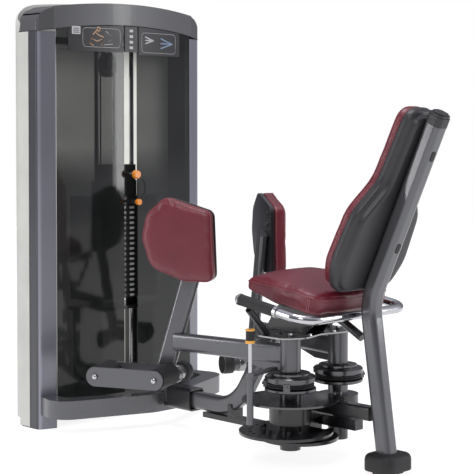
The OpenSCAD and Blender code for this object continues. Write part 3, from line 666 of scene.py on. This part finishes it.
# ---------------------------------------------------------------- padded upholstery
def puff(o, cap, voxel=0.005, pressure=4.0, frames=20, keep=None):
    """inflate a closed cushion with cloth pressure; the result is applied to the mesh"""
    scn = bpy.context.scene
    m = o.modifiers.new("vox", "REMESH")
    m.mode = "VOXEL"
    m.voxel_size = voxel
    m.use_smooth_shade = True
    dg = bpy.context.evaluated_depsgraph_get()
    me = bpy.data.meshes.new_from_object(o.evaluated_get(dg))
    o.modifiers.clear()
    mats = list(o.data.materials)
    o.data = me
    me.materials.clear()
    for q in mats:
        me.materials.append(q)
    co0 = np.empty(len(me.vertices) * 3)
    me.vertices.foreach_get("co", co0)
    co0 = co0.reshape(-1, 3)
    c = o.modifiers.new("cloth", "CLOTH")
    st = c.settings
    st.quality = 4
    st.mass = 0.25
    st.tension_stiffness = 12
    st.compression_stiffness = 12
    st.shear_stiffness = 6
    st.bending_stiffness = 1.2
    st.use_pressure = True
    st.uniform_pressure_force = pressure
    st.effector_weights.gravity = 0
    c.collision_settings.use_collision = False
    c.collision_settings.use_self_collision = False
    c.point_cache.frame_start = 1
    c.point_cache.frame_end = frames
    for f in range(1, frames + 1):
        scn.frame_set(f)
    dg = bpy.context.evaluated_depsgraph_get()
    ev = o.evaluated_get(dg).to_mesh()
    co1 = np.empty(len(ev.vertices) * 3)
    ev.vertices.foreach_get("co", co1)
    co1 = co1.reshape(-1, 3)
    d = co1 - co0
    L = np.linalg.norm(d, axis=1)
    L[L < 1e-9] = 1e-9
    lim = cap * np.tanh(L / cap)
    co = co0 + d * (lim / L)[:, None]
    if keep is not None:
        co = keep(co)
    o.evaluated_get(dg).to_mesh_clear()
    o.modifiers.clear()
    scn.frame_set(1)
    me.vertices.foreach_set("co", co.ravel())
    me.update()
    bm = bmesh.new()
    bm.from_mesh(me)
    for _ in range(2):
        bmesh.ops.smooth_vert(bm, verts=bm.verts, factor=0.5, use_axis_x=True, use_axis_y=True, use_axis_z=True)
    bm.to_mesh(me)
    bm.free()
    s_ = o.modifiers.new("sub", "SUBSURF")
    s_.levels = s_.render_levels = 1
    dg = bpy.context.evaluated_depsgraph_get()
    me2 = bpy.data.meshes.new_from_object(o.evaluated_get(dg))
    o.modifiers.clear()
    o.data = me2
    me2.materials.clear()
    for q in mats:
        me2.materials.append(q)
    me2.polygons.foreach_set("use_smooth", [True] * len(me2.polygons))
    return o


from mathutils.bvhtree import BVHTree


def on_surface(o, pts, lift=0.0):
    me = o.data
    t = BVHTree.FromPolygons([v.co for v in me.vertices], [tuple(p.vertices) for p in me.polygons])
    out = []
    for p in pts:
        loc, nrm, _, _ = t.find_nearest(Vector(p))
        out.append(np.array(loc + nrm * lift))
    return np.array(out)


thread = plastic("seam_thread", (0.42, 0.17, 0.19), rough=0.6, grain=0.4, gscale=2500, var=0.15)
# painted highlight: the piping is the red vinyl made lighter, standing in for the sheen along its bead
M["pipe_painted_highlight"] = vinyl("piping_vinyl_painted_highlight", (0.21, 0.028, 0.042), rough=0.30)
M["alu"] = brushed("label_metal", (0.62, 0.62, 0.60), rough=0.4, metal=0.3)

PO = [[-94, 716, 70], [-78, 800, 60], [-8, 864, 40], [160, 812, 30], [170, 566, 26], [62, 566, 70], [-62, 612, 70]]
for side, tag in ((-1, "left"), (1, "right")):
    body = "arm_" + tag
    base = resample(rnd(PO), 150)
    cen = base.mean(0)
    prof = [(26, 0.6), (7, 0.6), (2.5, 2.2), (2.2, 6), (2.2, 30), (2.4, 35), (4.6, 39.5), (8.5, 41.8)]
    rings = []
    for ins, dep in prof:
        P = inset(base, ins)
        rings.append(np.c_[P[:, 0], -30.6 - dep * np.ones(len(P)), P[:, 1]])
    last = inset(base, 8.5)
    for k in (0.9, 0.78, 0.6, 0.4, 0.2):
        P = cen + (last - cen) * k
        rings.append(np.c_[P[:, 0], -30.6 - (41.8 + 2.6 * (1 - k * k)) * np.ones(len(P)), P[:, 1]])
    o = loft("knee_pad_" + tag, [to_w(pad_f(r, side)) for r in rings], M["vinyl"])
    p0 = to_w(pad_f([[0, -30.5, 700]], side))[0]
    nv = to_w(pad_f([[0, -80, 700]], side))[0] - p0
    nv /= np.linalg.norm(nv)

    def keep(co, p0=p0, nv=nv):
        h = (co - p0) @ nv
        return co + np.outer(np.maximum(0.0, 0.0003 - h), nv)
    puff(o, 0.0045, keep=keep)
    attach(o, body)
    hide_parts("pad_" + tag)
    P = inset(base, 3.2)
    path = to_w(pad_f(np.c_[P[:, 0], -30.6 - 39.0 * np.ones(len(P)), P[:, 1]], side))
    q = tube("knee_piping_" + tag, smooth_loop(on_surface(o, path, 0.0006), 1), 0.0019, M["pipe_painted_highlight"], closed=True)
    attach(q, body)
    P = inset(base, 1.5)
    path = to_w(pad_f(np.c_[P[:, 0], -30.6 - 8.0 * np.ones(len(P)), P[:, 1]], side))
    q = dashes("knee_stitch_" + tag, on_surface(o, path, 0.0003), thread, closed=True)
    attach(q, body)

# seat cushion
SWD = 196.0
SO = [[-318, -SWD + 56, 40], [-150, -SWD + 6, 160], [44, -SWD, 46], [52, 0, 0], [44, SWD, 46], [-150, SWD - 6, 160],
      [-318, SWD - 56, 40], [-330, 0, 0]]
base = smooth_loop(resample(rnd(SO), 220), 2)
zs = lambda x: np.interp(x, [-330, -250, -150, -40, 30, 52], [27, 40, 51, 60, 56, 46])
zt = lambda x: np.interp(x, [-330, -290, -220, -140, -40, 20, 52], [38, 66, 84, 90, 84, 72, 58])
rings = []
for ins, f in ((60, lambda x: 0 * x + 0.6), (8, lambda x: 0 * x + 0.6), (3.0, lambda x: 0 * x + 3.0), (1.8, lambda x: 0 * x + 8),
               (1.6, lambda x: zs(x) * 0.6), (2.0, zs), (4.5, lambda x: zs(x) + 4.5), (9.0, lambda x: zs(x) + 7.5)):
    P = inset(base, ins)
    rings.append(np.c_[P[:, 0], P[:, 1], f(P[:, 0])])
last = inset(base, 9.0)
cen = np.array([-130.0, 0])
for k in (0.93, 0.85, 0.74, 0.6, 0.42, 0.22):
    P = cen + (last - cen) * k
    a = zs(P[:, 0]) + 7.5
    rings.append(np.c_[P[:, 0], P[:, 1], a + np.maximum(0, zt(P[:, 0]) - a) * (1 - k ** 2.6)])
seat = loft("seat_cushion_soft", [to_w(tilt_f(r)) for r in rings], M["vinyl"])
p0 = to_w(tilt_f([[0, 0, 0.5]]))[0]
nv = np.array([math.sin(math.radians(9)), 0, math.cos(math.radians(9))])
puff(seat, 0.006, keep=lambda co: co + np.outer(np.maximum(0.0, 0.0 - (co - p0) @ nv), nv))
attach(seat, "frame")
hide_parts("seat_cushion")
P = inset(base, 2.4)
path = to_w(tilt_f(np.c_[P[:, 0], P[:, 1], zs(P[:, 0]) + 1.0]))
q = tube("seat_piping", smooth_loop(on_surface(seat, path, 0.0008), 1), 0.0024, M["pipe_painted_highlight"], closed=True)
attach(q, "frame")
for off, nm in ((7.0, "a"),):
    path = to_w(tilt_f(np.c_[inset(base, 11.0), zs(P[:, 0]) + 9.0]))
    q = dashes("seat_stitch_top_" + nm, on_surface(seat, path, 0.0003), thread, closed=True)
    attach(q, "frame")
for sgn, tag in ((-1, "left"), (1, "right")):
    for k, xx in enumerate((12.0, 21.0)):
        col = [[xx + 3.0 * math.sin(t * 1.6), sgn * (SWD + 6), 4 + t * (zs(xx) - 6)] for t in np.linspace(0, 1, 14)]
        q = tube("seat_corner_seam_%s_%d" % (tag, k), on_surface(seat, to_w(tilt_f(col)), 0.0004), 0.0011, thread)
        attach(q, "frame")

# backrest pad and shell
BO = [[-126, 6, 70], [-168, 114, 120], [-154, 285, 100], [-82, 392, 100], [-72, 545, 90], [-66, 642, 44], [66, 642, 44],
      [72, 545, 90], [82, 392, 100], [154, 285, 100], [168, 114, 120], [126, 6, 70]]
base = smooth_loop(resample(rnd(BO), 240), 3)
rings = []
for ins, dep in ((40, 51.8), (8, 51.8), (4.2, 53.4), (3.6, 57), (3.6, 72), (5, 76.5), (9, 80), (16, 81.6)):
    rings.append(np.c_[inset(base, ins), dep * np.ones(len(base))])
last = inset(base, 16)
for t in (10, 22, 36, 50):
    P = smooth_loop(inset(last, t), 4)
    rings.append(np.c_[P, (81.6 + 3.5 * (t / 50)) * np.ones(len(P))])
back = loft("backrest_cushion", [to_w(back_f(r)) for r in rings], M["vinyl"])
p0 = to_w(back_f([[0, 300, 51.5]]))[0]
puff(back, 0.005, voxel=0.006, keep=lambda co: co + np.outer(np.maximum(0.0, 0.0 - (co - p0) @ BN), BN))
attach(back, "frame")
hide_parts("backrest_pad")
for nm, ins, dep, r, kind in (("back_piping_front", 5.5, 78.5, 0.0021, "pipe_painted_highlight"), ("back_piping_rear", 4.0, 54.5, 0.0019, "pipe_painted_highlight")):
    P = inset(base, ins)
    q = tube(nm, smooth_loop(on_surface(back, to_w(back_f(np.c_[P, dep * np.ones(len(P))])), 0.0006), 1), r, M["pipe_painted_highlight"], closed=True)
    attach(q, "frame")
for k, al in enumerate((180.0, 320.0, 470.0)):
    w = float(np.interp(al, [130, 285, 392, 545], [128, 124, 58, 50]))
    path = to_w(back_f([[x, al, 110] for x in np.linspace(-w, w, 60)]))
    q = dashes("back_stitch_%d" % k, on_surface(back, path, 0.0003), thread)
    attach(q, "frame")
rings = []
for ins, dep in ((60, 50.8), (8, 50.8), (1.5, 50.4), (0.2, 48.8), (0.2, 36), (1.0, 30), (3.6, 25.4), (8, 22.6), (12, 21.6),
                 (13.5, 20.2), (14.6, 17), (16, 9), (18.5, 4.2), (23, 1.6), (30, 0.9), (44, 0.8)):
    rings.append(np.c_[smooth_loop(inset(base, ins), 1 + int(ins / 8)), dep * np.ones(len(base))])
shell = loft("backrest_moulded_shell", [to_w(back_f(r)) for r in rings], M["shell"])
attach(shell, "frame")
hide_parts("backrest_shell")

# rear foot, moulded with a soft top edge
FO = [[-58, -68, 34], [58, -68, 34], [58, 68, 34], [-58, 68, 34]]
base = resample(rnd(FO), 96)
rings = [np.c_[inset(base, i) + [1291, 0], z * np.ones(96)] for i, z in
         ((30, 0.2), (26, 0.2), (25, 1.0), (25, 11.5), (4, 12), (1.2, 13), (0, 16), (0, 46), (1.6, 54), (5, 60), (11, 64.4), (20, 66), (24, 66))]
foot = loft("rear_foot_moulded", [to_w(r) for r in rings], M["rubber"])
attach(foot, "frame")
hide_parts("rear_foot")



def painted_corner_shade_and_highlight(m):
    """painted shade on the upright's side return and a painted highlight line where its corner starts"""
    nt = m.node_tree
    p = [n for n in nt.nodes if n.type == "BSDF_PRINCIPLED"][0]
    tc = nt.nodes.new("ShaderNodeTexCoord")
    sep = nt.nodes.new("ShaderNodeSeparateXYZ")
    nt.links.new(tc.outputs["Object"], sep.inputs[0])
    u = rng(nt, sep.outputs[0], 0.0, 1.0, -0.6963, -0.6463)
    # painted shade (x0.30) across the side return and a painted highlight line (x1.5) at the corner, set by X position
    c = ramp(nt, u, [(0.0, (0.30,) * 3), (0.52, (0.30,) * 3), (0.60, (1.5,) * 3), (0.66, (1.5,) * 3), (0.72, (1.0,) * 3)])
    src = p.inputs["Base Color"].links[0].from_socket
    mx = nt.nodes.new("ShaderNodeMix")
    mx.data_type = "RGBA"
    mx.blend_type = "MULTIPLY"
    mx.inputs[0].default_value = 1.0
    nt.links.new(src, mx.inputs[6])
    nt.links.new(c, mx.inputs[7])
    nt.links.new(mx.outputs[2], p.inputs["Base Color"])


painted_corner_shade_and_highlight(M["tower"])


# ---------------------------------------------------------------- small hardware and trim
def two_tone(mat_a, name, xcut, col=(0.30, 0.30, 0.31)):
    """head in plastic, shank in steel: split at xcut (metres) along the pin"""
    m = M[mat_a].copy()
    m.name = name
    nt = m.node_tree
    p = [n for n in nt.nodes if n.type == "BSDF_PRINCIPLED"][0]
    tc = nt.nodes.new("ShaderNodeTexCoord")
    sep = nt.nodes.new("ShaderNodeSeparateXYZ")
    nt.links.new(tc.outputs["Object"], sep.inputs[0])
    st = nt.nodes.new("ShaderNodeMath")
    st.operation = "GREATER_THAN"
    st.inputs[1].default_value = xcut
    nt.links.new(sep.outputs[0], st.inputs[0])
    src = p.inputs["Base Color"].links[0].from_socket
    mx = nt.nodes.new("ShaderNodeMix")
    mx.data_type = "RGBA"
    nt.links.new(st.outputs[0], mx.inputs[0])
    mx.inputs[6].default_value = (*col, 1)
    nt.links.new(src, mx.inputs[7])
    nt.links.new(mx.outputs[2], p.inputs["Base Color"])
    iv = nt.nodes.new("ShaderNodeMath")
    iv.operation = "SUBTRACT"
    iv.inputs[0].default_value = 1.0
    nt.links.new(st.outputs[0], iv.inputs[1])
    nt.links.new(iv.outputs[0], p.inputs["Metallic"])
    return m


for node, xc in (("selector_pin", (84 - 666.3) / 1000), ("addon_knob", (76 - 666.3) / 1000)):
    N[node].data.materials.clear()
    N[node].data.materials.append(two_tone("orange", node + "_finish", xc))

M["label"] = plastic("label_film", (0.42, 0.43, 0.42), rough=0.45, grain=0.06, var=0.06)
M["icon"] = plastic("icon_print_light", (0.46, 0.46, 0.47), rough=0.5, grain=0.05)
M["icon_tan"] = plastic("icon_print_tan", (0.42, 0.27, 0.17), rough=0.5, grain=0.05)
M["icon_blue"] = plastic("icon_print_blue", (0.22, 0.30, 0.42), rough=0.5, grain=0.05)


def bow(y, off=0.0):
    return 52 - 1923 + math.sqrt((1923 + off) ** 2 - y * y)


def add(o, body, slot_):
    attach(o, body)
    return o


def tile(name, face, u0, u1, v0, v1, mat, r=1.5, t=0.7, n=20):
    """thin sticker with rounded corners; face(u, v, h) gives a world point in mm"""
    P = resample(rnd([[u0, v0, r], [u1, v0, r], [u1, v1, r], [u0, v1, r]], 4), 4 * n)
    rings = []
    for ins, h in ((0.0, 0.05), (0.0, t * 0.7), (0.3, t), (min(u1 - u0, v1 - v0) * 0.3, t)):
        Q = P if ins == 0 else P + (P.mean(0) - P) * min(0.9, ins / (0.5 * min(u1 - u0, v1 - v0)))
        rings.append(to_w([face(a, b, h) for a, b in Q]))
    return loft(name, rings, mat, smooth=False)


front = lambda y, z, h: (bow(y, 2.5) + h, y, z)
centre = lambda y, z, h: (bow(0, 0.4) + 2.4 + h, y, z)


def strokes(name, paths, face, r, mat, closed=False):
    objs = []
    for k, q in enumerate(paths):
        pts = to_w([face(a, b, 0.4) for a, b in q])
        objs.append(add(tube("%s_%d" % (name, k), pts, r / 1000.0, mat, closed=closed, sides=6), "frame", "placard_black"))
    return objs


LY0 = lambda x: -282 + (x - 76) * 5.08
RY0 = lambda x: 38 + (x - 141) * 6.05
LZ = lambda y: 1372 + (57 - y) * 3.55
add(tile("placard_square", front, LY0(79), LY0(86), LZ(40), LZ(32), M["icon"]), "frame", "placard_black")
for k in range(3):
    add(tile("placard_square_bar_%d" % k, lambda y, z, h: (bow(y, 2.5) + h + 0.7, y, z), LY0(80), LY0(85), LZ(34.6 + 2 * k), LZ(33.8 + 2 * k), M["placard"], r=0.8, t=0.4), "frame", "placard_black")
rr = lambda a, b, c, d, r: resample(rnd([[a, c, r], [b, c, r], [b, d, r], [a, d, r]], 6), 60)
strokes("placard_outline_left", [rr(LY0(88), LY0(121), LZ(52.5), LZ(33), 14)], front, 0.7, M["icon"], closed=True)
fig = [[(100, 35), (97, 39), (95.5, 44), (100, 46.5)], [(99, 38), (103, 41), (106, 42)], [(100, 46.5), (105, 44), (103.5, 51)],
       [(95, 44), (94, 49), (97, 51)]]
strokes("placard_figure", [[(LY0(a), LZ(b)) for a, b in q] for q in fig], front, 2.4, M["icon_tan"])
hd = [(LY0(101.5) + 7 * math.cos(t), LZ(34) + 7 * math.sin(t)) for t in np.linspace(0, 2 * math.pi, 20, endpoint=False)]
strokes("placard_figure_head", [hd], front, 2.2, M["icon_tan"], closed=True)
strokes("placard_frame_lines", [[(LY0(a), LZ(b)) for a, b in q] for q in ([(108, 36), (115, 42), (110, 47)], [(106, 50), (114, 49)])], front, 1.0, M["icon"])
strokes("placard_outline_right", [rr(RY0(143.5), RY0(174), LZ(56), LZ(35), 14)], front, 0.7, M["icon"], closed=True)
for k, (cx, cy, w, mt) in enumerate(((150, 43, 3.6, "icon"), (165.5, 45.5, 5.4, "icon_blue"))):
    q = [[(cx - w, cy - w), (cx + w * 0.2, cy - w * 0.35), (cx + w, cy)], [(cx - w, cy + w), (cx + w * 0.2, cy + w * 0.35), (cx + w, cy)],
         [(cx - w, cy), (cx + w, cy)]]
    strokes("placard_arrow_%d" % k, [[(RY0(a), LZ(b)) for a, b in p_] for p_ in q], front, 2.6, M[mt])
for k in range(4):
    add(tile("placard_centre_%d" % k, centre, -8, 9, 1386 + 21 * k, 1396 + 21 * k, M["icon"], r=2), "frame", "placard_black")

# plate labels and pin-hole rims seen through the slot
stack = lambda y, z, h: (18 + h, y, z)
for k in range(18):
    zc = 446 + 19.6 * k + 9.2
    add(tile("plate_label_%02d" % k, stack, 22, 44, zc - 4.6, zc + 4.6, M["label"], r=1.2, n=6), "frame", "plate_black")
    add(lathe("plate_hole_rim_%02d" % k, [(4.6, 0.1), (7.6, 0.1), (7.6, 0.8), (4.8, 1.0)], (18, 0, zc), (1, 0, 0), M["steel"], seg=18), "frame", "plate_black")

# dark gasket in the seam under the cap
RAR, ZS = 2417.0, 1440.0
zarch = lambda y: ZS + 33 - RAR + math.sqrt(RAR * RAR - y * y)
HWD = 398.0
pth = [(-106, -HWD - 0.4)] + [(x, -HWD - 0.4) for x in np.linspace(-100, -16, 8)]
pth += [tuple(q) for q in corner((-16, -HWD - 0.4), (0.4, -HWD - 0.4), (24, -HWD + 71), 14, 6)]
pth += [(24.2, -HWD + 71)] + [(bow(y, 0.8), y) for y in np.linspace(-320, 320, 40)] + [(24.2, HWD - 71)]
pth += [(x, -y) for x, y in reversed([tuple(q) for q in corner((-16, -HWD - 0.4), (0.4, -HWD - 0.4), (24, -HWD + 71), 14, 6)])]
pth += [(x, HWD + 0.4) for x in np.linspace(-16, -106, 8)]
add(tube("cap_gasket", to_w([(x, y, zarch(y) - 0.6) for x, y in pth]), 0.0015, M["rubber"], sides=6), "frame", "rubber_black")

for side, tag in ((-1, "left"), (1, "right")):
    body = "arm_" + tag
    # rubber cover and steel collar on the foot rest hub, bolts on the outer bar
    def lath_foot(name, prof, x, z, mat, seg=40):
        V = []
        for r, h in prof:
            for k in range(seg):
                a = 2 * math.pi * k / seg
                V.append((x + r * math.cos(a), h, z + r * math.sin(a)))
        n = len(prof)
        F = [(i * seg + k, i * seg + (k + 1) % seg, (i + 1) * seg + (k + 1) % seg, (i + 1) * seg + k) for i in range(n - 1) for k in range(seg)]
        F += [tuple(range(seg))[::-1], tuple((n - 1) * seg + k for k in range(seg))]
        return new_obj(name, to_w(pad_f(V, side, 14.0)), F, mat)
    add(lath_foot("foot_hub_cover_" + tag, [(30, 83.4), (34.6, 83.6), (35.9, 85), (36.2, 90), (36.2, 114), (35.2, 120), (32, 123), (24, 123.6), (8, 123.8)], -10, 234, M["rubber"]), body, "rubber_black")
    add(lath_foot("foot_hub_collar_" + tag, [(29.2, 38), (30.4, 38.6), (31, 41), (31, 60), (30.4, 62.4), (29.2, 63)], -10, 234, M["polished"]), body, "frame_grey")
    for k, x in enumerate((2, -217)):
        add(lath_foot("foot_bolt_%s_%d" % (tag, k), [(9.5, -165.1), (9.8, -166.2), (9.4, -168.6), (7.6, -171.2), (4.6, -172.6), (1.5, -173.0)], x, 246, M["chrome"], seg=28), body, "chrome")
    for k, (x, z) in enumerate(((112, 786), (112, 748))):
        V = pad_f([[x, -15.8, z], [x, 0, z]], side)
        add(hexbolt("pad_back_bolt_%s_%d" % (tag, k), V[0], V[1] - V[0], r=6.5, h=5, mat=M["steel"]), body, "chrome")
    # lift cable lying in the cam groove
    cam = "cam_" + tag
    for k, z in enumerate((255.2, 262.6)):
        pts = [(980 + 75.2 * math.cos(t), side * 118 + 75.2 * math.sin(t), z) for t in np.linspace(0, 2 * math.pi, 72, endpoint=False)]
        add(tube("cam_cable_%s_%d" % (tag, k), to_w(pts), 0.0031, M["rubber"], closed=True, sides=8), cam, "rubber_black")
    for k, a in enumerate((30, 150, 270)):
        V = (980 + 55 * math.cos(math.radians(a)), side * 118 + 55 * math.sin(math.radians(a)), 291.0)
        add(hexbolt("cam_bolt_%s_%d" % (tag, k), V, (0, 0, 1), r=6.5, h=5, mat=M["chrome"]), cam, "chrome")
for k, (x, y) in enumerate(((905, -92), (905, 92), (1012, -60), (1012, 60))):
    add(hexbolt("bridge_bolt_%d" % k, (x, y, 414.5), (0, 0, 1), r=7, h=6, mat=M["chrome"]), "frame", "chrome")

# floor
me = bpy.data.meshes.new("floor")
s = 9.0
me.from_pydata([(-s, -s, 0), (s, -s, 0), (s, s, 0), (-s, s, 0)], [], [(0, 1, 2, 3)])
fl = bpy.data.objects.new("floor", me)
bpy.context.collection.objects.link(fl)
fm, nt, p, out = nodes_of("pale_floor")
fn = noise(nt, 2, 3, 0.5, coords(nt))
nt.links.new(ramp(nt, fn.outputs["Fac"], [(0.3, (0.30, 0.30, 0.30)), (0.7, (0.34, 0.34, 0.34))]), p.inputs["Base Color"])
p.inputs["Roughness"].default_value = 0.9
p.inputs["Emission Color"].default_value = (1, 1, 1, 1)
p.inputs["Emission Strength"].default_value = 0.86
me.materials.append(fm)
